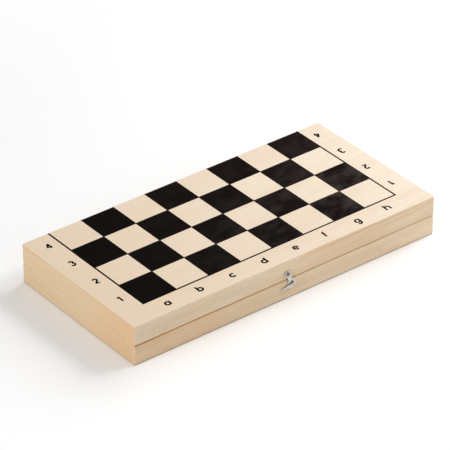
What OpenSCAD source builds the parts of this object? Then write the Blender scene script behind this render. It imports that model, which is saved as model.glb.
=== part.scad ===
// Folding chess set: a hinged wooden case whose two outer faces are the two halves of the board,
// with its thirty-two men laid inside. The origin is the bottom centre of the closed case.
// X runs along the files from a to h, Y runs back to the hinges and Z is up.

/* [Board] */
// Side of one square of the board
square_side = 30.3; // [30:0.1:36]
// Bare wood to the left of the a file
margin_left = 24.7; // [21:0.1:40]
// Bare wood to the right of the h file
margin_right = 22.9; // [20:0.1:40]
// Bare wood in front of the outermost rank
margin_front = 21.2; // [20:0.1:40]
// Width of the black line round the squares
border_w = 1.15; // [0.6:0.05:3]
// How far dark squares run into one another at their corners
bleed = 0.1; // [0.05:0.05:0.4]
// Depth of the black stain in the face
stain_t = 0.12; // [0.08:0.02:0.4]

/* [Case] */
// Height of one half of the case
half_h = 17; // [16:0.5:24]
// Thickness of the rails round each half
rail_t = 8; // [7.5:0.25:9]
// Thickness of the panel that carries the squares
panel_t = 3; // [2:0.25:4]
// Radius of the upright corners
corner_r = 1.8; // [1.8:0.1:4]
// Rounding along the edges of the board faces
face_r = 0.7; // [0.4:0.1:1.6]
// Rounding along the rims, which makes the groove where the halves meet
rim_r = 1.3; // [0.8:0.1:1.7]

/* [Hinges] */
// Distance between the middles of the two hinges
hinge_span = 170; // [80:1:220]
// Length of a hinge
hinge_l = 30; // [24:1:44]
// Width of a leaf, from the pin's axis
leaf_w = 6; // [5.5:0.25:6.5]
// Thickness of the leaf plate
leaf_t = 0.6; // [0.4:0.1:0.9]
// Outer diameter of the rolled knuckles
knuckle_d = 2.6; // [2.4:0.1:3.2]
// Length of each of the two end knuckles, which belong to the lower leaf
end_knuckle_l = 8; // [6:0.5:9]
// Play between neighbouring knuckles
knuckle_play = 0.2; // [0.1:0.05:0.4]
// Diameter of the hinge pin
hinge_pin_d = 1.2; // [1:0.05:1.4]
// How far the pin's axis stands out of the rear faces
axis_out = 0.1; // [0.05:0.05:0.4]
// Room round the knuckles in the rear rails
barrel_room = 0.25; // [0.15:0.05:0.5]
// Room round each leaf in its recess
leaf_room = 0.1; // [0.05:0.05:0.3]
// Head diameter of a leaf nail
leaf_nail_head_d = 2.2; // [1.8:0.1:2.6]
// Shank diameter of a leaf nail
leaf_nail_d = 1.1; // [0.8:0.1:1.4]
// Length of a leaf nail
leaf_nail_l = 7; // [4:0.5:10]
// Distance between the two nails of a leaf
leaf_nail_span = 18; // [12:1:20]

/* [Latch] */
// Place of the hook's pivot, to the right of the case's middle
pivot_x = -1.7; // [-60:0.1:60]
// Depth of the pivot below the upper face
pivot_down = 11.2; // [9:0.1:12]
// Diameter of the pivot nail
pivot_nail_d = 1.4; // [1:0.1:1.6]
// Diameter of the pivot nail's domed head
pivot_head_d = 3.4; // [2.6:0.1:4]
// Place of the catch nail, to the right of the pivot
catch_x = 4.2; // [3.8:0.1:4.6]
// Place of the catch nail, below the pivot
catch_down = 8.8; // [8.4:0.1:9.2]
// Diameter of the catch nail
catch_nail_d = 1.3; // [1:0.1:1.4]
// Diameter of the catch nail's domed head
catch_head_d = 2.8; // [2.2:0.1:3.2]
// Depth of both latch nails in the wood
latch_nail_l = 6; // [4:0.5:6.5]
// Height of both domed heads
dome_h = 1; // [0.6:0.1:1.2]
// Thickness of the hook plate
hook_t = 1; // [0.6:0.1:1.6]
// Gap between the hook plate and the front rails
hook_gap = 0.3; // [0.2:0.05:0.6]
// Gap between the hook plate and the nail heads
head_gap = 0.15; // [0.1:0.05:0.3]
// Radius of the eye at the top of the hook
eye_r = 2.7; // [2.2:0.1:3.2]
// Half width of the arm where it leaves the eye
arm_top_r = 1.5; // [1.2:0.1:1.8]
// Half width of the arm where it meets the curl
arm_low_r = 2; // [1.6:0.1:2.4]
// Radius of the hook's curl
curl_r = 4.4; // [4.1:0.1:4.8]
// Width of the hook's outer arm, outside the mouth
outer_arm_w = 2.85; // [2.5:0.05:3.2]
// How far the hook's inner prong reaches below the catch nail's middle
prong_l = 1.9; // [1.5:0.1:2.3]
// Reach of the finger tab, to the left of the pivot
tab_reach = 4.8; // [3:0.1:7]
// Width of the finger tab's round tip
tab_tip_w = 1.1; // [0.8:0.1:1.4]
// Room on each side of the catch nail in the hook's mouth
mouth_room = 0.15; // [0.1:0.05:0.3]

/* [Fits] */
// Radial play of the hinge pins and the hook's pivot
turning_play = 0.05; // [0.02:0.01:0.08]
// Radial room of a nail in the wood or metal that it holds
nail_room = 0.02; // [0.01:0.01:0.05]
// Gap between a man and the floor of the tray that it lies on
lying_gap = 0.05; // [0.02:0.01:0.3]

/* [Men] */
// Base diameter of a king
king_base = 23; // [18:0.5:23.5]
// Height of a king, with its cross
king_h = 64; // [60:1:68]
// Base diameter of a queen
queen_base = 22; // [18:0.5:23]
// Height of a queen
queen_h = 57; // [52:1:61]
// Base diameter of a bishop
bishop_base = 20; // [17:0.5:21]
// Height of a bishop
bishop_h = 49; // [46:1:53]
// Base diameter of a knight
knight_base = 20; // [18:0.5:21]
// Height of a knight
knight_h = 43; // [40:1:47]
// Base diameter of a rook
rook_base = 20; // [17:0.5:21]
// Height of a rook
rook_h = 36; // [34:1:40]
// Base diameter of a pawn
pawn_base = 17; // [15:0.5:18]
// Height of a pawn
pawn_h = 33; // [31:1:37]
// Thickness of the round-edged foot
foot_t = 3; // [2:0.25:4]
// Thickness of the ring above the foot
ring_t = 2; // [1.5:0.25:3]
// Thickness of a collar under a head
collar_t = 1.6; // [1:0.1:2.2]
// Thickness of the thin ring under a collar
fillet_t = 1; // [0.6:0.1:1.4]
// How far a collar stands out from its neck
collar_out = 2.9; // [2:0.1:3.2]
// Radius of a pawn's head
pawn_head_r = 5; // [4:0.1:5.6]
// Radius of a pawn's neck
pawn_neck_r = 2.5; // [2.2:0.1:3]
// Radius of a rook's neck
rook_neck_r = 4.7; // [4.2:0.1:5.4]
// Radius of a rook's tower
rook_tower_r = 7; // [6:0.1:7.6]
// Height of a rook's tower
rook_tower_h = 9; // [7:0.5:11]
// Thickness of the wall round a rook's well
rook_wall_t = 2; // [1.4:0.1:2.6]
// Depth of the well in a rook's tower
rook_well = 3; // [2:0.25:5]
// Width of the notches in a rook's battlement
rook_notch_w = 2.4; // [1.6:0.1:3]
// Radius of a bishop's neck
bishop_neck_r = 2.8; // [2.4:0.1:3.4]
// Radius of a bishop's mitre at its widest
mitre_r = 5.8; // [5:0.1:6.2]
// Height of a bishop's mitre, without its ball
mitre_h = 15; // [13:0.5:17]
// Radius of the ball on a mitre
mitre_ball_r = 1.7; // [1.3:0.1:2]
// Width of the cut in a bishop's mitre
mitre_cut_w = 1.4; // [1:0.1:2]
// Lean of that cut, in degrees
mitre_cut_lean = 40; // [30:1:50]
// Radius of a queen's neck
queen_neck_r = 3.1; // [2.8:0.1:3.6]
// Radius of the rim of a queen's crown
coronet_r = 6.6; // [5.8:0.1:7]
// Height of a queen's crown, with its dome
coronet_h = 12; // [10:0.5:14]
// Thickness of the scalloped rim round the dome
coronet_wall_t = 2.6; // [2.2:0.1:3]
// Diameter of the scallops in that rim
scallop_d = 3.4; // [2.6:0.1:3.8]
// Radius of the ball on a queen's crown
queen_ball_r = 1.9; // [1.5:0.1:2.2]
// Radius of a king's neck
king_neck_r = 3.3; // [3:0.1:3.8]
// Radius of the rim of a king's crown
crown_r = 6.4; // [5.6:0.1:7]
// Height of a king's crown, with its dome
crown_h = 13; // [11:0.5:15]
// Radius of both crowns where they stand on their collars
crown_root_r = 3.9; // [3.6:0.1:4.4]
// Height of the domes of both crowns
crown_dome_h = 2.4; // [2:0.1:3]
// Height of a king's cross
cross_h = 8; // [7:0.5:9]
// Width across the arms of a king's cross
cross_w = 6.4; // [5:0.2:7]
// Width of a cross arm in its middle
cross_mid_w = 1.5; // [1.2:0.1:2]
// Width of a cross arm at its end
cross_end_w = 3; // [2.4:0.1:3.6]
// Thickness of a king's cross
cross_t = 2.4; // [1.8:0.1:3]
// Height of a knight's turned foot
knight_foot_h = 10; // [9:0.5:12]
// Radius of the top of that foot, within its collar
knight_neck_r = 5.2; // [4.8:0.1:5.4]
// Length of a knight's head, from its nose to its mane
knight_head_l = 18; // [16:0.5:19]
// Thickness of a knight's head at its neck
knight_head_t = 11; // [9:0.5:12]
// Thickness of a knight's head at its ears
knight_top_t = 6.8; // [5.6:0.2:8]
// Thickness of a knight's head along its mane
knight_mane_t = 6.4; // [5:0.2:7]
// Thickness of a knight's muzzle
knight_muzzle_t = 6; // [5:0.2:7]
// Radius of a knight's round cheeks
knight_cheek_r = 3; // [2.4:0.1:3.4]
// Diameter of a knight's drilled eyes
knight_eye_d = 1.3; // [1:0.1:1.8]

/* [Hidden] */
// Curves are drawn finely enough for a smooth preview.
$fn = 64;
sweep_fn = 360;
// Extra length of a cutter past the face that it cuts.
past = 1;

files = 8;
ranks = 4;
case_l = margin_left + files * square_side + margin_right;
case_w = margin_front + ranks * square_side;
case_h = 2 * half_h;
field_x = -case_l / 2 + margin_left;
field_y = -case_w / 2 + margin_front;
front_y = -case_w / 2;
rear_y = case_w / 2;
inner_l = case_l - 2 * rail_t;
inner_w = case_w - 2 * rail_t;

hinge_y = rear_y + axis_out;
knuckle_r = knuckle_d / 2;
mid_knuckle_l = hinge_l - 2 * end_knuckle_l - 2 * knuckle_play;
end_knuckles = [for (end = [-1, 1]) [end * (hinge_l - end_knuckle_l) / 2, end_knuckle_l]];
plate_edge = knuckle_r + barrel_room;
leaf_nail_y = (leaf_w + plate_edge) / 2;
sink = 0.05;

pivot_z = case_h - pivot_down;
hook_front_y = front_y - hook_gap - hook_t;
catch_reach = norm([catch_x, catch_down]);
mouth_r = catch_nail_d / 2 + mouth_room;
// The curl lies a little below and to the left of the catch, and the arm ends above it.
curl_off = [-0.8, -0.6];
arm_off = [-1.6, 2.4];
curl_at = [catch_x, -catch_down] + curl_off;
arm_end = [catch_x, -catch_down] + arm_off;
finger_r = catch_reach + mouth_r + outer_arm_w;
// Round edge above the finger tab, which thins the tab towards its tip.
tab_edge_more = 1.2;
tab_edge_r = finger_r + tab_edge_more;
tab_edge_at = [-3, 3];
prong_w = 3;
// Angle through which the hook's mouth follows the catch nail.
mouth_swing = 60;

// A man's ring, waist, thin ring and neck, as shares of its base or collar radius.
ring_share = 0.8;
waist_share = 0.62;
fillet_share = 0.76;

KING = 0;
QUEEN = 1;
BISHOP = 2;
KNIGHT = 3;
ROOK = 4;
PAWN = 5;
base_r = [king_base, queen_base, bishop_base, knight_base, rook_base, pawn_base] / 2;
tall = [king_h, queen_h, bishop_h, knight_h, rook_h, pawn_h];

// Heights of the collars and crown rims, worked down from each man's top.
king_neck_z = king_h - cross_h - crown_h - collar_t;
king_rim_z = king_h - cross_h - crown_dome_h;
queen_neck_z = queen_h - 2 * queen_ball_r - coronet_h - collar_t;
queen_rim_z = queen_h - 2 * queen_ball_r - crown_dome_h / 2;
// Flat ring left between a queen's dome and the scallops.
dome_step = 0.3;
mitre_bulge_share = 0.4;
bishop_neck_z = bishop_h - 2 * mitre_ball_r - mitre_h - collar_t;
mitre_z = bishop_neck_z + collar_t;
bulge_z = mitre_z + mitre_h * mitre_bulge_share;
bulge_rise = mitre_z + mitre_h - bulge_z;
mitre_arc_r = (mitre_r * mitre_r + bulge_rise * bulge_rise) / (2 * mitre_r);
pawn_neck_z = pawn_h - 2 * pawn_head_r - collar_t;
rook_neck_z = rook_h - rook_tower_h;
knight_face_h = knight_h - knight_foot_h;
// Shares of a knight's face height at which its neck is thickest, its throat ends and its ears part.
thickest_share = 0.33;
throat_share = 0.31;
ears_share = 0.86;

// Point on a knight's head, given as shares of its length and of its height above the foot.
function on_head(p) = [p[0] * knight_head_l, p[1] * knight_face_h];
cheek_at = on_head([0.13, 0.5]);
eye_at = on_head([0.15, 0.68]);
// Thickness across both cheeks, and depth of the eyes below the thickest flank.
cheek_t = knight_head_t - 0.6;
eye_depth = 2.4;

// Where each man can touch the floor above its foot: height, radius and edge rounding.
function collar_touch(z, neck_r) =
    [z + collar_t / 2, neck_r + collar_out - collar_t / 2, collar_t / 2];

touches = [
    [[king_rim_z, crown_r, 0], collar_touch(king_neck_z, king_neck_r)],
    [[queen_rim_z, coronet_r, 0], collar_touch(queen_neck_z, queen_neck_r)],
    [[bulge_z, mitre_r - mitre_arc_r, mitre_arc_r], collar_touch(bishop_neck_z, bishop_neck_r)],
    [
        [knight_h, knight_top_t / 2, 0], [knight_foot_h + cheek_at[1], cheek_t / 2, 0],
        [knight_foot_h + knight_face_h * thickest_share, knight_head_t / 2, 0]
    ],
    [[rook_h, rook_tower_r, 0], collar_touch(rook_neck_z - collar_t, rook_neck_r)],
    [[pawn_h - pawn_head_r, 0, pawn_head_r], collar_touch(pawn_neck_z, pawn_neck_r)]
];

// How far a man's head drops when its foot and one point above it both touch the floor.
function drop_to(foot_at, touch) =
    let (
        across = foot_at - touch[1],
        along = touch[0] - foot_t / 2,
        rise = touch[2] - foot_t / 2
    )
    acos(rise / norm([across, along])) - atan2(along, across);
function drop(kind) = min([for (t = touches[kind]) drop_to(base_r[kind] - foot_t / 2, t)]);
function axis_up(kind) =
    (base_r[kind] - foot_t / 2) * cos(drop(kind)) + foot_t / 2 * (1 + sin(drop(kind)));
function behind(kind) = base_r[kind] * sin(drop(kind));
function ahead(kind) = tall[kind] * cos(drop(kind)) + behind(kind) / 2;

// The men lie in columns from front to back, white from the left and black from the right.
lineup = [
    [KING, KNIGHT], [QUEEN, BISHOP], [BISHOP, KNIGHT], [ROOK, ROOK, PAWN],
    [PAWN, PAWN, PAWN], [PAWN, PAWN, PAWN], [PAWN, PAWN],
    [PAWN, PAWN, PAWN], [PAWN, PAWN, PAWN],
    [ROOK, ROOK, PAWN], [BISHOP, KNIGHT], [QUEEN, BISHOP], [KING, KNIGHT]
];
last_column = len(lineup) - 1;
function total(list) = len(list) == 0 ? 0 : list * [for (v = list) 1];
function widest(column) = 2 * max([for (kind = lineup[column]) base_r[kind]]);
column_gap = (inner_l - total([for (c = [0:last_column]) widest(c)])) / (len(lineup) + 1);
function column_x(column) =
    -inner_l / 2 + column_gap * (column + 1) + widest(column) / 2
    + total([for (c = [0:1:column - 1]) widest(c)]);
function men_l(column) = total([for (kind = lineup[column]) behind(kind) + ahead(kind)]);
function row_gap(column) = (inner_w - men_l(column)) / (len(lineup[column]) + 1);

// Each man's name, colour, column and place in the column, counted from the front.
white_men = [
    ["white_king", 0, 0], ["white_knight_1", 0, 1],
    ["white_queen", 1, 0], ["white_bishop_1", 1, 1],
    ["white_bishop_2", 2, 0], ["white_knight_2", 2, 1],
    ["white_rook_1", 3, 0], ["white_rook_2", 3, 1], ["white_pawn_1", 3, 2],
    ["white_pawn_2", 4, 0], ["white_pawn_3", 4, 1], ["white_pawn_4", 4, 2],
    ["white_pawn_5", 5, 0], ["white_pawn_6", 5, 1], ["white_pawn_7", 5, 2],
    ["white_pawn_8", 6, 0]
];
black_men = [
    ["black_king", 12, 0], ["black_knight_1", 12, 1],
    ["black_queen", 11, 0], ["black_bishop_1", 11, 1],
    ["black_bishop_2", 10, 0], ["black_knight_2", 10, 1],
    ["black_rook_1", 9, 0], ["black_rook_2", 9, 1], ["black_pawn_1", 9, 2],
    ["black_pawn_2", 8, 0], ["black_pawn_3", 8, 1], ["black_pawn_4", 8, 2],
    ["black_pawn_5", 7, 0], ["black_pawn_6", 7, 1], ["black_pawn_7", 7, 2],
    ["black_pawn_8", 6, 1]
];

// The sliver of a square corner that lies outside its quarter round, at the upper right.
module corner_off(r) {
    difference() {
        translate([-r, -r]) square(r + past);
        translate([-r, -r]) circle(r = r);
    }
}

// Cross-section of a half, w wide, with its rounded board face down.
module half_section(w) {
    difference() {
        translate([-w / 2, 0]) square([w, half_h]);
        for (side = [0, 1]) mirror([side, 0]) {
            translate([w / 2, half_h]) corner_off(rim_r);
            translate([w / 2, 0]) mirror([0, 1]) corner_off(face_r);
        }
    }
}

// A quarter of a round post with the same edges, for an upright corner.
module corner_post() {
    rotate_extrude(angle = 90) difference() {
        square([corner_r, half_h]);
        translate([corner_r, half_h]) corner_off(rim_r);
        translate([corner_r, 0]) mirror([0, 1]) corner_off(face_r);
    }
}

// The whole outer form of a half, from which its rails and panel are taken.
module half_block() {
    rotate([90, 0, 90]) linear_extrude(case_l - 2 * corner_r, center = true) half_section(case_w);
    rotate([90, 0, 0]) linear_extrude(case_w - 2 * corner_r, center = true) half_section(case_l);
    for (turn = [0, 180]) rotate(turn) {
        translate([case_l / 2 - corner_r, case_w / 2 - corner_r]) corner_post();
        translate([corner_r - case_l / 2, case_w / 2 - corner_r]) rotate(90) corner_post();
    }
}

// Plan of a rail along the front, between its two mitres.
module mitred_plan(l, w) {
    polygon([
        [-l / 2 - past, -w / 2 - past], [l / 2 + past, -w / 2 - past],
        [l / 2 - rail_t, -w / 2 + rail_t], [-l / 2 + rail_t, -w / 2 + rail_t]
    ]);
}

// One rail of a half, on the side that turn points to.
module rail(turn) {
    l = turn % 180 == 0 ? case_l : case_w;
    w = turn % 180 == 0 ? case_w : case_l;
    intersection() {
        half_block();
        translate([0, 0, panel_t]) linear_extrude(half_h) rotate(turn) mitred_plan(l, w);
    }
}

// The dark squares of a half and the line round them. Rows count from the fold.
module dark_field(odd) {
    intersection() {
        union() {
            for (i = [0:files - 1], k = [0:ranks - 1]) if ((i + k) % 2 == odd) {
                translate([field_x + i * square_side - bleed, rear_y - (k + 1) * square_side - bleed])
                    square(square_side + 2 * bleed);
            }
            difference() {
                translate([field_x - border_w, field_y - border_w])
                    square([files * square_side + 2 * border_w, case_w]);
                translate([field_x, field_y]) square([files * square_side, case_w]);
            }
        }
        translate([-case_l / 2, front_y]) square([case_l, case_w - face_r]);
    }
}

// The plank of a half, with a shallow bed for its stain.
module panel(odd) {
    difference() {
        intersection() {
            half_block();
            translate([-case_l, -case_w, -past]) cube([2 * case_l, 2 * case_w, panel_t + past]);
        }
        translate([0, 0, -past]) linear_extrude(past + stain_t) dark_field(odd);
    }
}

// The upper half is the lower one turned over onto its rim.
module over() {
    translate([0, 0, case_h]) mirror([0, 0, 1]) children();
}

// A flush nail, driven down along Z with its head at the origin.
module flush_nail(room) {
    cone_h = (leaf_nail_head_d - leaf_nail_d) / 2;
    tip_h = leaf_nail_d;
    translate([0, 0, -cone_h])
        cylinder(h = cone_h, r1 = leaf_nail_d / 2 + room, r2 = leaf_nail_head_d / 2 + room);
    translate([0, 0, -leaf_nail_l + tip_h])
        cylinder(h = leaf_nail_l - tip_h, r = leaf_nail_d / 2 + room);
    translate([0, 0, -leaf_nail_l]) cylinder(h = tip_h, r1 = room, r2 = leaf_nail_d / 2 + room);
}

module leaf_nails(room) {
    for (side = [-1, 1], nail = [-1, 1])
        translate([side * hinge_span / 2 + nail * leaf_nail_span / 2, hinge_y - leaf_nail_y, half_h - sink])
            flush_nail(room);
}

module along_x(l, r) {
    rotate([0, 90, 0]) cylinder(h = l, r = r, center = true);
}

// Room in a rear rail for both leaves and barrels.
module hinge_beds() {
    for (side = [-1, 1]) translate([side * hinge_span / 2, hinge_y, half_h]) {
        along_x(hinge_l + 2 * leaf_room, knuckle_r + barrel_room);
        translate([-hinge_l / 2 - leaf_room, -leaf_w - leaf_room, -leaf_t])
            cube([hinge_l + 2 * leaf_room, leaf_w + leaf_room, leaf_t + past]);
    }
    leaf_nails(nail_room);
}

// A leaf lying under the axis, with one rolled knuckle for each entry of [middle, length].
module hinge_leaf(knuckles) {
    difference() {
        union() {
            translate([-hinge_l / 2, -leaf_w, -leaf_t]) cube([hinge_l, leaf_w - plate_edge, leaf_t]);
            for (k = knuckles) translate([k[0], 0, 0]) {
                along_x(k[1], knuckle_r);
                translate([-k[1] / 2, -plate_edge - past, -leaf_t]) cube([k[1], plate_edge + past, leaf_t]);
            }
        }
        along_x(hinge_l + 2 * past, hinge_pin_d / 2 + turning_play);
        for (nail = [-1, 1]) translate([nail * leaf_nail_span / 2, -leaf_nail_y, -sink]) {
            flush_nail(nail_room);
            cylinder(h = past, r = leaf_nail_head_d / 2 + nail_room);
        }
    }
}

module lower_leaf(side) {
    color("silver") translate([side * hinge_span / 2, hinge_y, half_h]) hinge_leaf(end_knuckles);
}

module upper_leaf(side) {
    color("silver") over() translate([side * hinge_span / 2, hinge_y, half_h])
        hinge_leaf([[0, mid_knuckle_l]]);
}

module hinge_pin(side) {
    color("silver") translate([side * hinge_span / 2, hinge_y, half_h])
        along_x(hinge_l, hinge_pin_d / 2);
}

module lower_panel() {
    color("wheat") panel(0);
}

module lower_squares() {
    color("#1c1815") linear_extrude(stain_t) dark_field(0);
}

// Hole for a latch nail, drilled into a front rail from its outer face.
module nail_hole(x, z, d) {
    translate([x, front_y - past, z]) rotate([-90, 0, 0])
        cylinder(h = latch_nail_l + past, r = d / 2 + nail_room);
}

module lower_front_rail() {
    color("burlywood") difference() {
        rail(0);
        nail_hole(pivot_x + catch_x, pivot_z - catch_down, catch_nail_d);
    }
}

module lower_rear_rail() {
    color("burlywood") difference() {
        rail(180);
        hinge_beds();
    }
}

module lower_left_rail() {
    color("burlywood") rail(270);
}

module lower_right_rail() {
    color("burlywood") rail(90);
}

module upper_panel() {
    color("wheat") over() panel(1);
}

module upper_squares() {
    color("#1c1815") over() linear_extrude(stain_t) dark_field(1);
}

module upper_front_rail() {
    color("burlywood") difference() {
        over() rail(0);
        nail_hole(pivot_x, pivot_z, pivot_nail_d);
    }
}

module upper_rear_rail() {
    color("burlywood") over() difference() {
        rail(180);
        hinge_beds();
    }
}

module upper_left_rail() {
    color("burlywood") over() rail(270);
}

module upper_right_rail() {
    color("burlywood") over() rail(90);
}

module lower_hinge_nails() {
    color("silver") leaf_nails(0);
}

module upper_hinge_nails() {
    color("silver") over() leaf_nails(0);
}

// Two discs and the straight flanks that touch both.
module taper(from, from_r, to, to_r) {
    step = to - from;
    aim = atan2(step[1], step[0]);
    lean = acos((from_r - to_r) / norm(step));
    translate(from) circle(r = from_r);
    translate(to) circle(r = to_r);
    polygon([
        from + from_r * [cos(aim + lean), sin(aim + lean)],
        from + from_r * [cos(aim - lean), sin(aim - lean)],
        to + to_r * [cos(aim - lean), sin(aim - lean)],
        to + to_r * [cos(aim + lean), sin(aim + lean)]
    ]);
}

// Path that the catch nail takes through the hook as the hook swings, open to the left.
module mouth() {
    start = atan2(-catch_down, catch_x);
    far = 2 * finger_r;
    intersection() {
        difference() {
            circle(r = catch_reach + mouth_r);
            circle(r = catch_reach - mouth_r);
        }
        polygon([
            [0, 0], far * [cos(start), sin(start)],
            far * [cos(start - mouth_swing), sin(start - mouth_swing)]
        ]);
    }
    translate([catch_x, -catch_down]) circle(r = mouth_r);
}

// Face of the hook, seen from the front, with its pivot at the origin.
module hook_face() {
    difference() {
        union() {
            circle(r = eye_r);
            taper([0, 0], arm_top_r, arm_end, arm_low_r);
            difference() {
                translate(curl_at) circle(r = curl_r);
                translate([curl_at[0] - prong_w - curl_r, -catch_down - prong_l])
                    square([curl_r, curl_r + past]);
            }
            difference() {
                intersection() {
                    circle(r = finger_r, $fn = sweep_fn);
                    translate([-tab_reach, -finger_r]) square([tab_reach + curl_at[0], curl_r]);
                }
                translate(tab_edge_at) circle(r = tab_edge_r, $fn = sweep_fn);
            }
            translate([-tab_reach, -sqrt(pow(finger_r - tab_tip_w / 2, 2) - pow(tab_reach, 2))])
                circle(d = tab_tip_w);
        }
        circle(r = pivot_nail_d / 2 + turning_play);
        mouth();
    }
}

module latch_hook() {
    color("silver") translate([pivot_x, hook_front_y + hook_t, pivot_z]) rotate([90, 0, 0])
        linear_extrude(hook_t) hook_face();
}

// A round-headed nail driven into the front, with its domed head in front of the hook.
module latch_nail(x, z, d, head_d) {
    head_y = hook_front_y - head_gap;
    dome_r = (pow(head_d / 2, 2) + pow(dome_h, 2)) / (2 * dome_h);
    tip_h = d / 2;
    translate([x, head_y, z]) rotate([-90, 0, 0]) {
        cylinder(h = front_y + latch_nail_l - tip_h - head_y, r = d / 2);
        translate([0, 0, front_y + latch_nail_l - tip_h - head_y]) cylinder(h = tip_h, r1 = d / 2, r2 = 0);
        intersection() {
            translate([0, 0, dome_r - dome_h]) sphere(r = dome_r);
            translate([0, 0, -dome_h]) cylinder(h = dome_h, r = head_d);
        }
    }
}

module latch_pivot_nail() {
    color("silver") latch_nail(pivot_x, pivot_z, pivot_nail_d, pivot_head_d);
}

module latch_catch_nail() {
    color("silver") latch_nail(pivot_x + catch_x, pivot_z - catch_down, catch_nail_d, catch_head_d);
}

// Outline of a turned disc with a full round edge.
module bead(r, z, t) {
    translate([0, z]) square([r - t / 2, t]);
    translate([r - t / 2, z + t / 2]) circle(d = t);
}

// Right half of a disc on the axis.
module half_disc(r, z) {
    translate([0, z]) intersection() {
        circle(r = r);
        translate([0, -r]) square([r, 2 * r]);
    }
}

// Hollow sweep from a foot in to a neck, upright where it meets the neck.
module waist(foot_r, neck_r, z, h) {
    inwards = foot_r - neck_r;
    sweep_r = (inwards * inwards + h * h) / (2 * inwards);
    translate([0, z]) difference() {
        square([foot_r, h]);
        translate([neck_r + sweep_r, h]) circle(r = sweep_r, $fn = sweep_fn);
    }
}

// Foot, ring, waist and double collar, which every turned man has.
module stem(foot_r, neck_r, neck_z) {
    waist_z = foot_t + ring_t;
    bead(foot_r, 0, foot_t);
    bead(foot_r * ring_share, foot_t, ring_t);
    waist(foot_r * waist_share, neck_r, waist_z, neck_z - waist_z);
    bead((neck_r + collar_out) * fillet_share, neck_z - fillet_t, fillet_t);
    bead(neck_r + collar_out, neck_z, collar_t);
}

// Straight-sided flare from one radius to another.
module flare(low_r, high_r, z, h) {
    polygon([[0, z], [low_r, z], [high_r, z + h], [0, z + h]]);
}

module pawn() {
    rotate_extrude() {
        stem(base_r[PAWN], pawn_neck_r, pawn_neck_z);
        translate([0, pawn_neck_z]) square([pawn_neck_r, collar_t + pawn_head_r]);
        half_disc(pawn_head_r, pawn_h - pawn_head_r);
    }
}

// A tower with a round well in its top and a battlement cut by crossing slots.
module rook() {
    notches = 6;
    difference() {
        rotate_extrude() {
            stem(base_r[ROOK], rook_neck_r, rook_neck_z - collar_t);
            translate([0, rook_neck_z]) square([rook_tower_r, rook_tower_h]);
        }
        translate([0, 0, rook_h - rook_well]) cylinder(h = rook_well + past, r = rook_tower_r - rook_wall_t);
        for (i = [0:notches / 2 - 1]) rotate(i * 360 / notches)
            translate([-rook_base, -rook_notch_w / 2, rook_h - rook_well + past])
                cube([2 * rook_base, rook_notch_w, rook_well]);
    }
}

// A pointed mitre on a turned stem, with a slanting cut and a ball on top.
module bishop() {
    difference() {
        rotate_extrude() {
            stem(base_r[BISHOP], bishop_neck_r, bishop_neck_z);
            intersection() {
                translate([mitre_r - mitre_arc_r, bulge_z]) circle(r = mitre_arc_r, $fn = sweep_fn);
                translate([0, mitre_z]) square([mitre_r, bishop_h - mitre_z]);
            }
            half_disc(mitre_ball_r, bishop_h - mitre_ball_r);
        }
        translate([0, 0, bulge_z + bulge_rise / 3]) rotate([0, -mitre_cut_lean, 0])
            translate([0, -mitre_r, 0]) cube([2 * mitre_r, 2 * mitre_r, mitre_cut_w]);
    }
}

// Cap of a ball, h high on a flat base of radius r at height z.
module dome(r, z, h) {
    ball_r = (r * r + h * h) / (2 * h);
    intersection() {
        half_disc(ball_r, z + h - ball_r);
        translate([0, z]) square([r, h]);
    }
}

// A crown scalloped by eight round cuts, with a low dome and a ball.
module queen() {
    scallops = 8;
    inner_r = coronet_r - coronet_wall_t;
    crown_z = queen_neck_z + collar_t;
    difference() {
        rotate_extrude() {
            stem(base_r[QUEEN], queen_neck_r, queen_neck_z);
            flare(crown_root_r, coronet_r, crown_z, queen_rim_z - crown_z);
            dome(inner_r - dome_step, queen_rim_z, crown_dome_h);
            half_disc(queen_ball_r, queen_h - queen_ball_r);
        }
        translate([0, 0, queen_rim_z]) for (i = [0:scallops - 1]) rotate((i + 0.5) * 360 / scallops)
            translate([inner_r, 0, 0]) rotate([0, 90, 0]) cylinder(h = coronet_r, d = scallop_d);
    }
}

// One arm of a cross, from end to end, waisted in its middle.
module cross_arm(l) {
    polygon([
        [-l / 2, -cross_end_w / 2], [0, -cross_mid_w / 2], [l / 2, -cross_end_w / 2],
        [l / 2, cross_end_w / 2], [0, cross_mid_w / 2], [-l / 2, cross_end_w / 2]
    ]);
}

// A flared crown with a low dome and a cross.
module king() {
    crown_z = king_neck_z + collar_t;
    rotate_extrude() {
        stem(base_r[KING], king_neck_r, king_neck_z);
        flare(crown_root_r, crown_r, crown_z, king_rim_z - crown_z);
        dome(crown_r, king_rim_z, crown_dome_h);
    }
    translate([0, cross_t / 2, king_h - cross_h]) rotate([90, 0, 0]) linear_extrude(cross_t) {
        translate([0, (cross_h - past) / 2]) rotate(90) cross_arm(cross_h + past);
        translate([0, cross_h - cross_w / 2]) cross_arm(cross_w);
    }
}

// Point at share t of the smooth curve from p[i] to p[i + 1], on a closed row of points.
function curve_point(p, i, t) =
    let (
        n = len(p),
        before = p[(i + n - 1) % n],
        from = p[i],
        to = p[(i + 1) % n],
        after = p[(i + 2) % n]
    )
    (2 * from + (to - before) * t + (2 * before - 5 * from + 4 * to - after) * t * t
        + (3 * from - before - 3 * to + after) * t * t * t) / 2;

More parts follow.
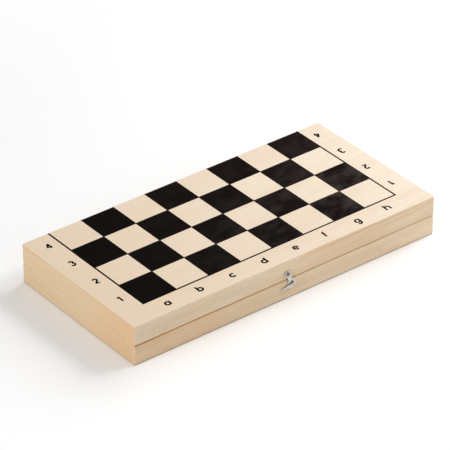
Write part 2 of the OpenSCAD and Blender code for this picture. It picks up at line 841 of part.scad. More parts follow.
// Side view of the carved head, with its nose towards +X and its neck on the origin.
module knight_side() {
    steps = 5;
    locks = 5;
    lock_turn = 14;
    mouth_turn = 24;
    crest = [
        [-0.34, 0], [-0.44, 0.13], [-0.49, 0.3], [-0.48, 0.46], [-0.43, 0.61], [-0.33, 0.75], [-0.18, 0.86]
    ];
    brow = [[0.01, 0.88], [0.13, 0.81], [0.23, 0.71], [0.37, 0.6], [0.49, 0.5], [0.54, 0.42], [0.51, 0.35]];
    jaw = [
        [0.41, 0.33], [0.3, 0.37], [0.19, 0.38], [0.13, 0.33], [0.17, 0.25], [0.28, 0.16], [0.35, 0.08],
        [0.34, 0]
    ];
    outline = [for (p = concat(crest, brow, jaw)) on_head(p)];
    ear = [for (p = [[-0.2, 0.8], [-0.1, 0.95], [0.02, 1], [0.07, 0.93], [0.07, 0.8]]) on_head(p)];
    lock = [[-0.17, 0.17], [0.09, 0], [-0.17, -0.03]] * knight_head_l;
    mouth = [[0.1, 0.05], [-0.17, 0], [0.1, -0.02]] * knight_head_l;
    difference() {
        union() {
            polygon([
                for (i = [0:len(outline) - 2], k = [0:steps - 1]) curve_point(outline, i, k / steps),
                outline[len(outline) - 1]
            ]);
            polygon(ear);
        }
        for (i = [1:locks]) translate(outline[i]) rotate(-lock_turn * i) polygon(lock);
        translate(on_head([0.54, 0.38])) rotate(mouth_turn) polygon(mouth);
    }
}

// Front view of the same head: a neck that narrows to two ears with a notch between them.
module knight_front() {
    wide = knight_head_t / 2;
    thin = knight_top_t / 2;
    ear_in = thin / 3;
    thickest_z = knight_face_h * thickest_share;
    polygon([
        [-wide, -past], [wide, -past], [wide, thickest_z], [thin, knight_face_h],
        [ear_in, knight_face_h], [0, knight_face_h * ears_share], [-ear_in, knight_face_h],
        [-thin, knight_face_h], [-wide, thickest_z]
    ]);
}

// Top view of the same head: two arcs that meet the mane's thickness at both ends.
module knight_top() {
    end_x = knight_head_l / 2;
    swell = (knight_head_t - knight_mane_t) / 2;
    flank_r = (end_x * end_x + swell * swell) / (2 * swell);
    intersection_for (side = [-1, 1])
        translate([0, side * (flank_r - knight_head_t / 2)]) circle(r = flank_r, $fn = sweep_fn);
}

// The carved head without its cheeks, cut slimmer from the cheeks to the nose.
module knight_head() {
    throat_z = knight_face_h * throat_share;
    difference() {
        intersection() {
            rotate([90, 0, 0]) linear_extrude(knight_head_t, center = true) knight_side();
            rotate([90, 0, 90]) linear_extrude(2 * knight_head_l, center = true) knight_front();
            translate([0, 0, -past]) linear_extrude(knight_face_h + 2 * past) knight_top();
        }
        for (side = [0, 1]) mirror([0, side, 0]) translate([cheek_at[0], knight_muzzle_t / 2, throat_z])
            cube([knight_head_l, knight_head_t, cheek_at[1] - throat_z]);
    }
}

// A turned foot with a horse's head, which has round cheeks and drilled eyes.
module knight() {
    rotate_extrude() stem(base_r[KNIGHT], knight_neck_r, knight_foot_h - collar_t);
    translate([0, 0, knight_foot_h]) difference() {
        union() {
            knight_head();
            translate([cheek_at[0], 0, cheek_at[1]]) rotate([90, 0, 0])
                cylinder(h = cheek_t, r = knight_cheek_r, center = true);
        }
        for (side = [0, 1]) mirror([0, side, 0])
            translate([eye_at[0], knight_head_t / 2 - eye_depth, eye_at[1]]) rotate([-90, 0, 0])
                cylinder(h = knight_head_t, d = knight_eye_d);
    }
}

module man(kind) {
    if (kind == KING) king();
    if (kind == QUEEN) queen();
    if (kind == BISHOP) bishop();
    if (kind == KNIGHT) knight();
    if (kind == ROOK) rook();
    if (kind == PAWN) pawn();
}

// A man laid down in its column: the last one has its foot to the rear, the others to the front.
module laid_man(column, place) {
    men = lineup[column];
    kind = men[place];
    rearmost = place == len(men) - 1;
    before = total([for (p = [0:1:place - 1]) behind(men[p]) + ahead(men[p])]);
    from_front = -inner_w / 2 + before + row_gap(column) * (place + 1);
    at_y = rearmost ? from_front + ahead(kind) : from_front + behind(kind);
    translate([column_x(column), at_y, panel_t + lying_gap + axis_up(kind)])
        rotate(rearmost ? 180 : 0) rotate([-90 - drop(kind), 0, 0]) man(kind);
}

module white_man(column, place) {
    color("wheat") laid_man(column, place);
}

module black_man(column, place) {
    color("#3a2a20") laid_man(column, place);
}

lower_panel();
lower_squares();
lower_front_rail();
lower_rear_rail();
lower_left_rail();
lower_right_rail();
upper_panel();
upper_squares();
upper_front_rail();
upper_rear_rail();
upper_left_rail();
upper_right_rail();
lower_leaf(-1);  // left_hinge_lower_leaf
upper_leaf(-1);  // left_hinge_upper_leaf
hinge_pin(-1);  // left_hinge_pin
lower_leaf(1);  // right_hinge_lower_leaf
upper_leaf(1);  // right_hinge_upper_leaf
hinge_pin(1);  // right_hinge_pin
lower_hinge_nails();
upper_hinge_nails();
latch_hook();
latch_pivot_nail();
latch_catch_nail();
for (m = white_men) white_man(m[1], m[2]);
for (m = black_men) black_man(m[1], m[2]);
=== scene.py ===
import math

import bpy
from mathutils import Matrix, Vector


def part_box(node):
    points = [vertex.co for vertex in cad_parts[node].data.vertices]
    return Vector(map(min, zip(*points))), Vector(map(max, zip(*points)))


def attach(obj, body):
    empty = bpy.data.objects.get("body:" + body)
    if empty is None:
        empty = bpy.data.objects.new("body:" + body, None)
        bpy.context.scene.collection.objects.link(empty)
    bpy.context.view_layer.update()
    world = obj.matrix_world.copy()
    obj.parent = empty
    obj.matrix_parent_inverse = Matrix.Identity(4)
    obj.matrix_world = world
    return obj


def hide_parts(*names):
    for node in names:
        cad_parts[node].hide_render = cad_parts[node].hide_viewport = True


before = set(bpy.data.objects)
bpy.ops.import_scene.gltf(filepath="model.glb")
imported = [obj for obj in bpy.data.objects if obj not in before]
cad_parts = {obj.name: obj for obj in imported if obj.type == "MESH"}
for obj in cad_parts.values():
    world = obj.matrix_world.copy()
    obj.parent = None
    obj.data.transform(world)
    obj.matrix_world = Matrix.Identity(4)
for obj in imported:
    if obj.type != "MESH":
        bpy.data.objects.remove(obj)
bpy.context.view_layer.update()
mm = 0.001

# The view: the closed case lies on a table, seen over its front left corner from 2.5 m away and
# through a long lens, both fitted to its squares, so that its long edges stay almost parallel.
camera = bpy.data.objects.new("camera", bpy.data.cameras.new("camera"))
bpy.context.scene.collection.objects.link(camera)
bpy.context.scene.camera = camera
camera.location = (-1.2832, -1.6446, 1.3680)
camera.rotation_euler = [math.radians(a) for a in (57.312, 0.168, -37.956)]
camera.data.sensor_width = 36
camera.data.lens = 258.9
bpy.context.scene.view_settings.view_transform = "Standard"


# The table and the light: a sheet of white paper that washes out to pure white away from the
# case, one soft lamp at the right that throws the shadow to the left, wide pale screens at the
# right, front and left, and an even glow all round.
class Wire:
    """An output of a node in a finish, so that sums on it are written as plain arithmetic."""

    def __init__(self, finish, socket):
        self.finish = finish
        self.socket = socket

    def sum(self, operation, first, second=0.0):
        return self.finish.node("ShaderNodeMath", {"operation": operation}, {0: first, 1: second})

    def __add__(self, other):
        return self.sum("ADD", self, other)

    def __sub__(self, other):
        return self.sum("SUBTRACT", self, other)

    def __rsub__(self, other):
        return self.sum("SUBTRACT", other, self)

    def __mul__(self, other):
        return self.sum("MULTIPLY", self, other)

    __rmul__ = __mul__

    def __truediv__(self, other):
        return self.sum("DIVIDE", self, other)

    def __pow__(self, other):
        return self.sum("POWER", self, other)

    def __abs__(self):
        return self.sum("ABSOLUTE", self)

    def sine(self):
        return self.sum("SINE", self)

    def most(self, other):
        return self.sum("MAXIMUM", self, other)

    def from_line(self):
        """How far a count is from the nearest whole number, up to a half."""
        return self.sum("PINGPONG", self, 0.5)

    def ramp(self, low, high):
        """Rises smoothly from 0 at low to 1 at high."""
        return self.finish.node(
            "ShaderNodeMapRange",
            {"interpolation_type": "SMOOTHSTEP"},
            {"Value": self, "From Min": low, "From Max": high},
        )


class Finish:
    """A surface finish in the making: its nodes, and the place of the point that is shaded."""

    def __init__(self, owner):
        owner.use_nodes = True
        self.owner = owner
        self.tree = owner.node_tree
        self.tree.nodes.clear()
        self.place = self.node("ShaderNodeTexCoord", output="Object")

    def node(self, kind, settings=None, inputs=None, output=0):
        """Adds a node, feeds its inputs with wires or constants, and gives one output."""
        made = self.tree.nodes.new(kind)
        for key, value in (settings or {}).items():
            setattr(made, key, value)
        for key, value in (inputs or {}).items():
            if isinstance(value, Wire):
                self.tree.links.new(value.socket, made.inputs[key])
            else:
                made.inputs[key].default_value = value
        return Wire(self, made.outputs[output]) if made.outputs else None

    def mix(self, share, first, second):
        """The first colour where share is 0, the second where it is 1."""
        # A mix node counts its inputs and outputs for numbers, vectors and colours in one row.
        inputs = {0: share, 6: first, 7: second}
        return self.node("ShaderNodeMix", {"data_type": "RGBA"}, inputs, 2)

    def axis(self, vector, letter):
        return self.node("ShaderNodeSeparateXYZ", None, {0: vector}, letter)

    def turned(self, cell, turn=(0, 0, 0), shift=0.0):
        """The place, turned back by some radians and counted in cells of the given size."""
        away = (shift, shift, shift)
        inputs = {"Vector": self.place, "Location": away, "Rotation": turn, "Scale": cell}
        return self.node("ShaderNodeMapping", {"vector_type": "TEXTURE"}, inputs)

    def cloud(self, cell, turn=(0, 0, 0), shift=0.0, detail=2.0, roughness=0.5):
        """Soft noise from 0 to 1, with blots about as large as the cell."""
        inputs = {
            "Vector": self.turned(cell, turn, shift),
            "Scale": 1.0,
            "Detail": detail,
            "Roughness": roughness,
        }
        return self.node("ShaderNodeTexNoise", None, inputs)

    def bump(self, height, depth):
        inputs = {"Height": height, "Distance": depth, "Strength": 1.0}
        return self.node("ShaderNodeBump", None, inputs)

    def surface(self, **inputs):
        """Ends a material with these inputs of its shader, and gives the material."""
        named = {key.replace("_", " "): value for key, value in inputs.items()}
        shader = self.node("ShaderNodeBsdfPrincipled", None, named)
        self.node("ShaderNodeOutputMaterial", None, {"Surface": shader})
        return self.owner

    def seen(self):
        """1 where it is looked at, straight or in a mirror, 0 where it only lights something."""
        path = "ShaderNodeLightPath"
        mirrored = self.node(path, output="Is Glossy Ray")
        through = self.node(path, output="Is Transmission Ray")
        straight = self.node(path, output="Is Camera Ray")
        capped = {"operation": "ADD", "use_clamp": True}
        return self.node("ShaderNodeMath", capped, {0: straight, 1: mirrored + through})


def colour(red, green, blue):
    """A colour as seen on a screen, from 0 to 255, in the renderer's own scale."""
    def straight(level):
        share = level / 255
        return share / 12.92 if share <= 0.04045 else ((share + 0.055) / 1.055) ** 2.4
    return (straight(red), straight(green), straight(blue), 1.0)


def lamp(name, place, size, watts, tint):
    """A round area lamp that looks at the middle of the case's foot."""
    light = bpy.data.objects.new(name, bpy.data.lights.new(name, "AREA"))
    bpy.context.scene.collection.objects.link(light)
    light.data.shape = "DISK"
    light.data.size = size
    light.data.energy = watts
    light.data.color = tint
    light.location = place
    light.rotation_euler = Vector(place).to_track_quat("Z", "Y").to_euler()


table_size = 12
table_gap = 0.3 * mm
wash_start = 0.22
wash_end = 0.55
pure_white = (1.0, 1.0, 1.0, 1.0)
bpy.ops.mesh.primitive_plane_add(size=table_size, location=(0, 0, -table_gap))
table = bpy.context.object
table.name = "table"
sheet = Finish(bpy.data.materials.new("white_sheet"))
distance = sheet.node("ShaderNodeVectorMath", {"operation": "LENGTH"}, {0: sheet.place}, "Value")
wash = sheet.seen() * distance.ramp(wash_start, wash_end)
paper = sheet.node("ShaderNodeBsdfDiffuse", None, {"Color": colour(252, 252, 252)})
bright = sheet.node("ShaderNodeEmission", None, {"Color": pure_white, "Strength": 1.0})
washed = sheet.node("ShaderNodeMixShader", None, {0: wash, 1: paper, 2: bright})
sheet.node("ShaderNodeOutputMaterial", None, {"Surface": washed})
table.data.materials.append(sheet.owner)

lamp("key_lamp", (0.98, -0.44, 1.13), 0.36, 3.9, (1.0, 0.98, 0.96))
lamp("right_screen", (1.1, 0.13, 0.8), 1.15, 12.2, (0.985, 0.992, 1.0))
lamp("front_screen", (0.45, -1.0, 0.45), 0.8, 1.5, (1.0, 1.0, 1.0))
lamp("left_screen", (-1.0, -0.3, 0.6), 1.0, 5.9, (1.0, 0.99, 0.98))

# The glow lights the case with less than the white that the camera sees.
glow_light = 0.4
glow = Finish(bpy.data.worlds.new("glow"))
strength = glow.seen() * (1 - glow_light) + glow_light
lit = glow.node("ShaderNodeBackground", None, {"Color": pure_white, "Strength": strength})
glow.node("ShaderNodeOutputWorld", None, {"Surface": lit})
bpy.context.scene.world = glow.owner


# The case: two trays of pale close-grained hardwood, each a thin plank with four rails glued and
# mitred under it, sanded flush so that no seam shows, and given a thin dull lacquer. The grain runs
# along each rail, and along the plank from a to h.
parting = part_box("lower_front_rail")[1].z
half_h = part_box("upper_panel")[1].z - parting
half_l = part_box("lower_panel")[1].x
files = 8
border_w = 1.15 * mm
field_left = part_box("upper_squares")[0].x + border_w
field_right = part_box("upper_squares")[1].x - border_w
field_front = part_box("upper_squares")[0].y + border_w
fold_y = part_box("upper_panel")[1].y
square = (field_right - field_left) / files
bleed = 0.1 * mm
creep = 0.33 * mm
blur = 0.06 * mm
skin = 0.2 * mm
plank_lean = (0, 0, 0.02)
grain_depth = 0.02 * mm


def rightwards(finish):
    """Rises from 0 at the left end of the case to 1 at the right."""
    return finish.axis(finish.place, "X") / half_l * 0.5 + 0.5


def growth(wood, cell, turn, across, spacing, shift):
    """Fine growth lines along a board, so many mm apart, wavy, and stronger in some places."""
    flat = wood.turned((mm, mm, mm), turn, shift)
    swell = wood.cloud(cell, turn, shift, 1.0)
    phase = wood.axis(flat, across) / spacing + swell * 7.0
    line = ((phase * math.tau).sine() * 0.5 + 0.5) ** 3.0
    patch = (cell[0] * 0.6, cell[1], cell[2])
    return line * wood.cloud(patch, turn, shift + 0.3, 1.0).ramp(0.3, 0.75)


def crept_stain(wood, fibre):
    """1 where the stain of the squares and their border has crept on into the pale face."""
    spread = creep * (fibre * 0.8 + 0.6)
    x, y = wood.axis(wood.place, "X"), wood.axis(wood.place, "Y")
    middle, half_w = (field_left + field_right) / 2, (field_right - field_left) / 2
    off_field = (abs(x - middle) - half_w).most(field_front - y)

    # Near the lines between the squares, of which the fold isn't one.
    columns, rows = (x - field_left) / square, (fold_y - y) / square
    at_fold = 1 - rows.ramp(0.4, 0.5)
    by_column = bleed - columns.from_line() * square
    by_row = bleed - rows.from_line() * square - at_fold * square
    on_lines = (by_column.most(by_row) + spread).ramp(-blur, blur)

    past_border = (off_field - border_w).ramp(-blur, blur)
    outer = abs(wood.axis(wood.place, "Z") - parting).ramp(half_h - 2 * skin, half_h - skin)
    return outer * on_lines.most(off_field.ramp(-blur, blur)) * (1 - past_border)


def case_wood(name, shift, shaded_left, lit_right, rosy_at):
    """The wood of one half: its face, its long rails and its short rails, told apart by normals."""
    wood = Finish(bpy.data.materials.new(name))
    outward = wood.node("ShaderNodeTexCoord", output="Normal")
    turn_starts, turn_ends = 0.3, 0.7
    frontal = abs(wood.axis(outward, "Y")).ramp(turn_starts, turn_ends)
    sideways = abs(wood.axis(outward, "X")).ramp(turn_starts, turn_ends)
    rightness = rightwards(wood)

    # The board face, with fine fibres, faint lines and short brown flecks.
    fibre = wood.cloud((40 * mm, 0.5 * mm, 0.5 * mm), plank_lean, shift, 3.0, 0.6)
    cloudy = wood.cloud((90 * mm, 14 * mm, 14 * mm), (0, 0, 0.03), shift, 2.0)
    face_line = growth(wood, (120 * mm, 9 * mm, 9 * mm), (0, 0, 0.015), "Y", 5.0, shift)
    # The face lightens towards the right: painted light from the lamps at that side.
    face = wood.mix(rightness, colour(226, 207, 183), colour(246, 231, 213))
    face = wood.mix(cloudy.ramp(0.25, 0.75) * 0.4, face, colour(228, 205, 177))
    face = wood.mix(face_line * 0.2, face, colour(222, 196, 162))
    face = wood.mix((fibre - 0.5) * 0.9 + 0.12, face, colour(219, 195, 165))
    fleck = wood.cloud((2.6 * mm, 0.24 * mm, 0.24 * mm), plank_lean, shift + 0.9, 1.0)
    face = wood.mix(fleck.ramp(0.62, 0.76) * 0.35, face, colour(196, 160, 124))
    face = wood.mix(crept_stain(wood, fibre), face, colour(14, 9, 7))

    # The long rails at the front and rear, with straight lines under a slanting figure.
    slope = (0, math.radians(-1.2), 0)
    slant = (0, math.radians(-5), 0)
    figure = growth(wood, (60 * mm, 20 * mm, 9 * mm), slant, "Z", 5.5, shift + 0.4)
    long_fibre = wood.cloud((45 * mm, 0.5 * mm, 0.45 * mm), slope, shift, 3.0, 0.6)
    long_line = growth(wood, (170 * mm, 12 * mm, 12 * mm), slope, "Z", 1.7, shift)
    long_cloud = wood.cloud((60 * mm, 20 * mm, 5 * mm), slope, shift + 0.7, 2.0)
    # They lighten from the left end to the right end: painted shade at the left, painted light at
    # the right.
    long = wood.mix(rightness, shaded_left, lit_right)
    long = wood.mix(long_cloud.ramp(0.3, 0.8) * 0.5, long, colour(226, 196, 160))
    long = wood.mix(figure * 0.35, long, colour(200, 164, 124))
    long = wood.mix(long_line * 0.6, long, colour(170, 142, 109))
    long = wood.mix((long_fibre - 0.5) * 0.6 + 0.15, long, colour(188, 158, 122))

    # Each of them has one rosier stretch.
    rosy = 1 - abs(rightness - rosy_at).ramp(0.04, 0.2)
    long = wood.mix(rosy * 0.22, long, colour(214, 168, 130))

    # The short rails at the left and right, smoother and warmer.
    end_lean = (0.02, 0, 0)
    short_fibre = wood.cloud((0.5 * mm, 45 * mm, 0.45 * mm), end_lean, shift, 3.0, 0.6)
    short_line = growth(wood, (12 * mm, 150 * mm, 12 * mm), end_lean, "Z", 3.4, shift + 0.2)
    nearness = wood.axis(wood.place, "Y").ramp(0.0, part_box("lower_panel")[0].y)
    # The right end is darker and greyer than the left: painted shade that holds back the strong
    # lamp at the right.
    right_end_shade = wood.axis(wood.place, "X").ramp(0.0, half_l)
    short = wood.mix(nearness, colour(228, 202, 167), colour(222, 187, 148))
    short = wood.mix(right_end_shade, short, colour(203, 183, 155))
    short = wood.mix(short_line * 0.4, short, colour(208, 168, 120))
    short = wood.mix((short_fibre - 0.5) * 0.9 + 0.13, short, colour(206, 170, 127))

    tone = wood.mix(frontal, face, long)
    tone = wood.mix(sideways, tone, short)

    # The rounded rims at the parting: painted shade, golden brown, in the groove along the front,
    # weaker to the right, and a pale painted highlight in the groove at the ends.
    groove_floor, groove_rim = 0.3 * mm, 1.2 * mm
    groove_light_and_shade = 1 - abs(wood.axis(wood.place, "Z") - parting).ramp(groove_floor, groove_rim)
    tone = wood.mix(groove_light_and_shade * frontal * (0.85 - rightness * 0.55), tone, colour(172, 116, 36))
    tone = wood.mix(groove_light_and_shade * sideways * 0.2, tone, colour(246, 224, 190))

    # The foot of the rails, greyer along the bottom edge: painted contact shade where the case
    # stands.
    foot_shade_full_h, foot_shade_end_h = 0.5 * mm, 1.9 * mm
    low = 1 - wood.axis(wood.place, "Z").ramp(foot_shade_full_h, foot_shade_end_h)
    painted_foot_shade = low * (frontal + sideways * 0.6)
    tone = wood.mix(painted_foot_shade * 0.45, tone, colour(128, 119, 108))
    height = fibre * (1 - frontal) * (1 - sideways) + long_fibre * frontal + short_fibre * sideways
    return wood.surface(
        Base_Color=tone,
        Roughness=fibre * 0.15 + 0.5,
        Specular_IOR_Level=0.1,
        Normal=wood.bump(height, grain_depth),
    )


def dress(material, *names):
    """Gives CAD pieces a finish."""
    for name in names:
        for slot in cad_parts[name].material_slots:
            slot.material = material


# Each pair is the long rails' tone at the left end, with painted shade, and at the right end, with
# painted light.
lower_shade_and_light = colour(210, 190, 160), colour(235, 217, 191)
upper_shade_and_light = colour(220, 207, 184), colour(232, 211, 183)
lower_wood = case_wood("lower_case_wood", 0.11, *lower_shade_and_light, rosy_at=0.17)
upper_wood = case_wood("upper_case_wood", 0.53, *upper_shade_and_light, rosy_at=0.68)
sides = ("front", "rear", "left", "right")
dress(lower_wood, "lower_panel", *[f"lower_{side}_rail" for side in sides])
dress(upper_wood, "upper_panel", *[f"upper_{side}_rail" for side in sides])


# The dark squares and the line round them: a black water stain brushed into the plank, through
# which the grain still shows, with a cloudy grey painted sheen towards the right and the front.
def black_stain(name, shift):
    """The stain of one half, with painted sheen that lightens it towards the right and the front,
    so darker and evener at the left and at the fold.
    """
    stain = Finish(bpy.data.materials.new(name))
    streak = stain.cloud((18 * mm, 0.5 * mm, 0.5 * mm), plank_lean, shift, 4.0, 0.65)
    sheen_cloud = stain.cloud((17 * mm, 11 * mm, 11 * mm), (0, 0, 0.3), shift, 4.0, 0.6)
    rightness = rightwards(stain)
    nearness = 1 - stain.axis(stain.place, "Y").ramp(field_front, fold_y) * 0.8
    # Lighter towards the right: painted sheen. The streaks are the grain, made stronger at the
    # right by painted sheen.
    tone = stain.mix(rightness, colour(6, 4, 3), colour(18, 11, 9))
    tone = stain.mix(streak.ramp(0.35, 0.8) * (rightness * 0.2 + 0.2), tone, colour(40, 30, 26))
    # Grey clouds towards the right and the front: painted sheen.
    painted_sheen = sheen_cloud.ramp(0.36, 0.68) * (streak.ramp(0.3, 0.7) * 0.55 + 0.2)
    tone = stain.mix(painted_sheen * rightness ** 2.0 * 1.2 * nearness, tone, colour(88, 81, 77))
    return stain.surface(
        Base_Color=tone,
        Roughness=streak * 0.2 + 0.5,
        Specular_IOR_Level=0.01,
        Normal=stain.bump(streak, grain_depth),
    )


lower_stain = black_stain("lower_black_stain", 0.17)
upper_stain = black_stain("upper_black_stain", 0.61)
dress(lower_stain, "lower_squares")
dress(upper_stain, "upper_squares")


# The letters and numbers of the files and ranks, printed with the same black on the margins as a
# film that hardly stands up. Each is drawn, in mm, with round strokes of one width, but for thinner
# level bars, and is turned so that both players can read it.
def arc(x, y, radius, start, end):
    """Points along an arc from one angle to another, in degrees."""
    steps = max(2, round(abs(end - start) / 15))
    turns = [math.radians(start + (end - start) * i / steps) for i in range(steps + 1)]
    return [(x + radius * math.cos(t), y + radius * math.sin(t)) for t in turns]


stroke_w = 1.68
bar_share = 0.72
bowl_r = 2.0
bowl_y = 2.4
tall_y = 7.0
digit_y = 6.6
bowl = arc(0, bowl_y, bowl_r, 0, 360)
signs = {
    "a": [bowl, [(bowl_r, 0), (bowl_r, 2 * bowl_y)]],
    "b": [bowl, [(-bowl_r, 0), (-bowl_r, tall_y)]],
    "c": [arc(0, bowl_y, bowl_r, 38, 322)],
    "d": [bowl, [(bowl_r, 0), (bowl_r, tall_y)]],
    "e": [arc(0, bowl_y, bowl_r, 0, 320), [(-bowl_r, bowl_y), (bowl_r, bowl_y)]],
    "f": [[(-1.7, 0), (-1.7, 5.4)] + arc(-0.5, 5.4, 1.2, 180, 80), [(-2.8, 4.2), (-0.1, 4.2)]],
    "g": [bowl, [(bowl_r, 2 * bowl_y), (bowl_r, 0)] + arc(0, -0.1, bowl_r, 0, -145)],
    "h": [[(-bowl_r, 0), (-bowl_r, tall_y)], arc(0, 2.7, bowl_r, 180, 0) + [(bowl_r, 0)]],
    "1": [[(0.5, 0), (0.5, digit_y - 0.3)], [(0.5, digit_y - 0.4), (-1.2, 5.0)]],
    "2": [arc(0, 4.6, 1.6, 160, -40) + [(-1.6, 0.5)], [(-1.9, 0.45), (1.9, 0.45)]],
    "3": [arc(0, 4.8, 1.45, 160, -90), arc(0, 2.05, 1.75, 90, -160)],
    "4": [[(0.8, 0), (0.8, digit_y)], [(0.8, 6.2), (-2.0, 1.9)], [(-2.2, 1.75), (2.1, 1.75)]],
    "5": [[(1.5, 6.15), (-1.2, 6.15)], [(-1.05, 6.3), (-1.35, 3.3)], arc(0, 2.2, 1.75, 140, -150)],
    "6": [arc(0, 2.1, 1.65, 0, 360), arc(1.75, 2.2, 3.4, 180, 112)],
    "7": [[(-1.8, 6.15), (1.9, 6.15)], [(1.6, 6.1), (-0.7, 0)]],
    "8": [arc(0, 4.95, 1.25, 0, 360), arc(0, 2.05, 1.6, 0, 360)],
}
film_t = 0.02


def sign(letter, x, y, z, right, normal):
    """One letter or number as a flat mesh: right is the way it reads along X, normal its face."""
    curve = bpy.data.curves.new("sign", "CURVE")
    curve.dimensions = "3D"
    curve.bevel_depth = stroke_w / 2
    curve.bevel_resolution = 2
    curve.use_fill_caps = True
    for path in signs[letter]:
        closed = math.isclose(math.dist(path[0], path[-1]), 0, abs_tol=0.01)
        is_bar = len(path) == 2 and path[0][1] == path[1][1]
        points = path[:-1] if closed else path
        spline = curve.splines.new("POLY")
        spline.points.add(len(points) - 1)
        spline.use_cyclic_u = closed
        for point, (across, along) in zip(spline.points, points):
            point.co = (across, along, 0, 1)
            point.radius = bar_share if is_bar else 1.0
    strokes = bpy.data.objects.new("sign", curve)
    bpy.context.scene.collection.objects.link(strokes)
    bpy.ops.object.select_all(action="DESELECT")
    strokes.select_set(True)
    bpy.context.view_layer.objects.active = strokes
    bpy.ops.object.convert(target="MESH")
    film = bpy.context.object
    up = Vector((0, 0, normal)).cross(Vector((right, 0, 0)))
    turn = Matrix(((right, up.x, 0), (0, up.y, 0), (0, 0, normal))).to_4x4()
    flat = Matrix.Diagonal((mm, mm, mm * film_t / (stroke_w / 2), 1))
    film.matrix_world = Matrix.Translation((x, y, z)) @ turn @ flat
    bpy.ops.object.transform_apply(location=True, rotation=True, scale=True)
    return film


def join(name, pieces, body, material):
    """Makes one piece of the signs of one half."""
    bpy.ops.object.select_all(action="DESELECT")
    for piece in pieces:
        piece.select_set(True)
    bpy.context.view_layer.objects.active = pieces[0]
    bpy.ops.object.join()
    whole = bpy.context.object
    whole.name = name
    whole.data.materials.clear()
    whole.data.materials.append(material)
    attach(whole, body)


case_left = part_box("upper_panel")[0].x
case_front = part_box("upper_panel")[0].y
letters_y = case_front + 7.7 * mm
letters_left = 1.2 * mm
left_digits_x = case_left + 14.4 * mm
right_digits_x = case_left + 276.7 * mm
digit_mid = digit_y / 2 * mm
upper_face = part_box("upper_squares")[1].z
halves = (
    ("upper", upper_face, 1, "4321", upper_stain),
    ("lower", 0.0, -1, "5678", lower_stain),
)

for half, face_z, normal, ranks, stain in halves:
    half_signs = []
    for i, letter in enumerate("abcdefgh"):
        letter_x = field_left + (i + 0.5) * square - letters_left
        half_signs.append(sign(letter, letter_x, letters_y, face_z, normal, normal))
    for k, rank in enumerate(ranks):
        row_y = fold_y - (k + 0.5) * square
        half_signs.append(sign(rank, left_digits_x, row_y - digit_mid, face_z, 1, normal))
        half_signs.append(sign(rank, right_digits_x, row_y + digit_mid, face_z, -1, normal))
    join(f"{half}_lettering", half_signs, f"{half}_half", stain)


# The hinges: two butt hinges of nickelled steel, their knuckles rolled round steel pins, let into
# the rear rails and held by two flush nails to a leaf. The plating has dulled in small smears.
def nickel(name, shift, tone, dull):
    """Plated metal of one tone, smeared with a duller one."""
    metal = Finish(bpy.data.materials.new(name))
    smear = metal.cloud((3 * mm, 1.5 * mm, 2 * mm), (0.3, 0.2, 0.1), shift, 3.0, 0.6)
    scratch = metal.cloud((4 * mm, 0.2 * mm, 0.2 * mm), (0.1, 0.2, 0.3), shift, 2.0)
    return metal.surface(
        Base_Color=metal.mix(smear.ramp(0.35, 0.75) * 0.5, tone, dull),
        Metallic=1.0,
        Roughness=smear * 0.25 + 0.16,
        Normal=metal.bump(scratch, 0.004 * mm),
    )


hinge_nickel = nickel("hinge_nickel", 0.2, colour(190, 186, 178), colour(134, 126, 114))
nail_steel = nickel("nail_steel", 0.5, colour(164, 160, 154), colour(112, 106, 98))
for side in ("left", "right"):
    dress(hinge_nickel, f"{side}_hinge_lower_leaf", f"{side}_hinge_upper_leaf")
    dress(nail_steel, f"{side}_hinge_pin")
dress(nail_steel, "lower_hinge_nails", "upper_hinge_nails")


# The latch: a small hook stamped from plated sheet, its edges rounded by tumbling, which turns on
# a round-headed nail in the upper rail and catches another in the lower one. The plate made here is
# the CAD stamping with those rounded edges.
# The hook's dark duller tone is partly dulled plating and partly painted shade for the grey shading
# on it.
latch_nickel = nickel("latch_nickel", 0.8, colour(212, 209, 201), colour(116, 111, 102))
latch_steel = nickel("latch_steel", 0.6, colour(108, 104, 102), colour(74, 68, 64))
dress(latch_nickel, "latch_hook")
dress(latch_steel, "latch_pivot_nail", "latch_catch_nail")

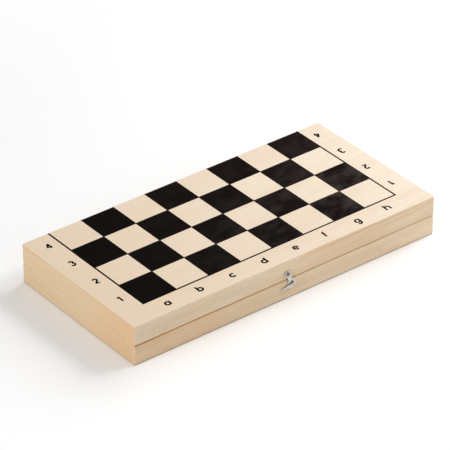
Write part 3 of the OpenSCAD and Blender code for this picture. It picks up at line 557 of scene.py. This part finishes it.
edge_r = 0.14 * mm
weld = 0.001 * mm
speck = 0.002 * mm
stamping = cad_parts["latch_hook"]
plate = bpy.data.objects.new("hook_plate", stamping.data.copy())
bpy.context.scene.collection.objects.link(plate)
plate.matrix_world = stamping.matrix_world
bpy.ops.object.select_all(action="DESELECT")
plate.select_set(True)
bpy.context.view_layer.objects.active = plate
bpy.ops.object.transform_apply(location=True, rotation=True, scale=True)
bpy.ops.object.mode_set(mode="EDIT")
bpy.ops.mesh.select_all(action="SELECT")
bpy.ops.mesh.remove_doubles(threshold=weld)
bpy.ops.mesh.dissolve_limited(angle_limit=math.radians(1))
bpy.ops.object.mode_set(mode="OBJECT")
edge = plate.modifiers.new("rolled_edge", "BEVEL")
edge.limit_method = "ANGLE"
edge.angle_limit = math.radians(50)
edge.width = edge_r
edge.segments = 3
bpy.ops.object.modifier_apply(modifier="rolled_edge")
bpy.ops.object.mode_set(mode="EDIT")
bpy.ops.mesh.select_all(action="SELECT")
bpy.ops.mesh.dissolve_degenerate(threshold=speck)
bpy.ops.mesh.remove_doubles(threshold=speck)
bpy.ops.object.mode_set(mode="OBJECT")
bpy.ops.object.shade_smooth_by_angle(angle=math.radians(35))
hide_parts("latch_hook")
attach(plate, "hook")


# The men: turned on a lathe from a close pale wood, the knights finished by carving. One side is
# only lacquered, the other is stained dark brown first. They lie loose in the lower tray.
def turned_wood(name, shift, pale, line, depth, dullness):
    """Wood with growth lines of a second colour, fine tool marks and a glossy lacquer."""
    wood = Finish(bpy.data.materials.new(name))
    fibre = wood.cloud((0.5 * mm, 24 * mm, 0.5 * mm), (0.03, 0, 0), shift, 3.0, 0.6)
    ring = growth(wood, (8 * mm, 60 * mm, 8 * mm), (0.05, 0.4, 0.1), "Z", 2.4, shift)
    tool = wood.cloud((30 * mm, 0.22 * mm, 30 * mm), (0, 0, 0), shift, 2.0)
    tone = wood.mix(ring * depth, pale, line)
    tone = wood.mix((fibre - 0.5) * depth + depth * 0.3, tone, line)
    return wood.surface(
        Base_Color=tone,
        Roughness=fibre * 0.15 + dullness,
        Specular_IOR_Level=0.5,
        Coat_Weight=0.3,
        Coat_Roughness=0.2,
        Normal=wood.bump(tool, 0.02 * mm),
    )


pale_tones = colour(236, 210, 168), colour(204, 162, 110)
dark_tones = colour(66, 40, 26), colour(34, 20, 14)
white_wood = turned_wood("white_men_wood", 0.4, *pale_tones, depth=0.5, dullness=0.34)
dark_wood = turned_wood("black_men_wood", 0.9, *dark_tones, depth=0.7, dullness=0.28)
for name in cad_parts:
    if name.startswith("white_"):
        dress(white_wood, name)
    if name.startswith("black_"):
        dress(dark_wood, name)
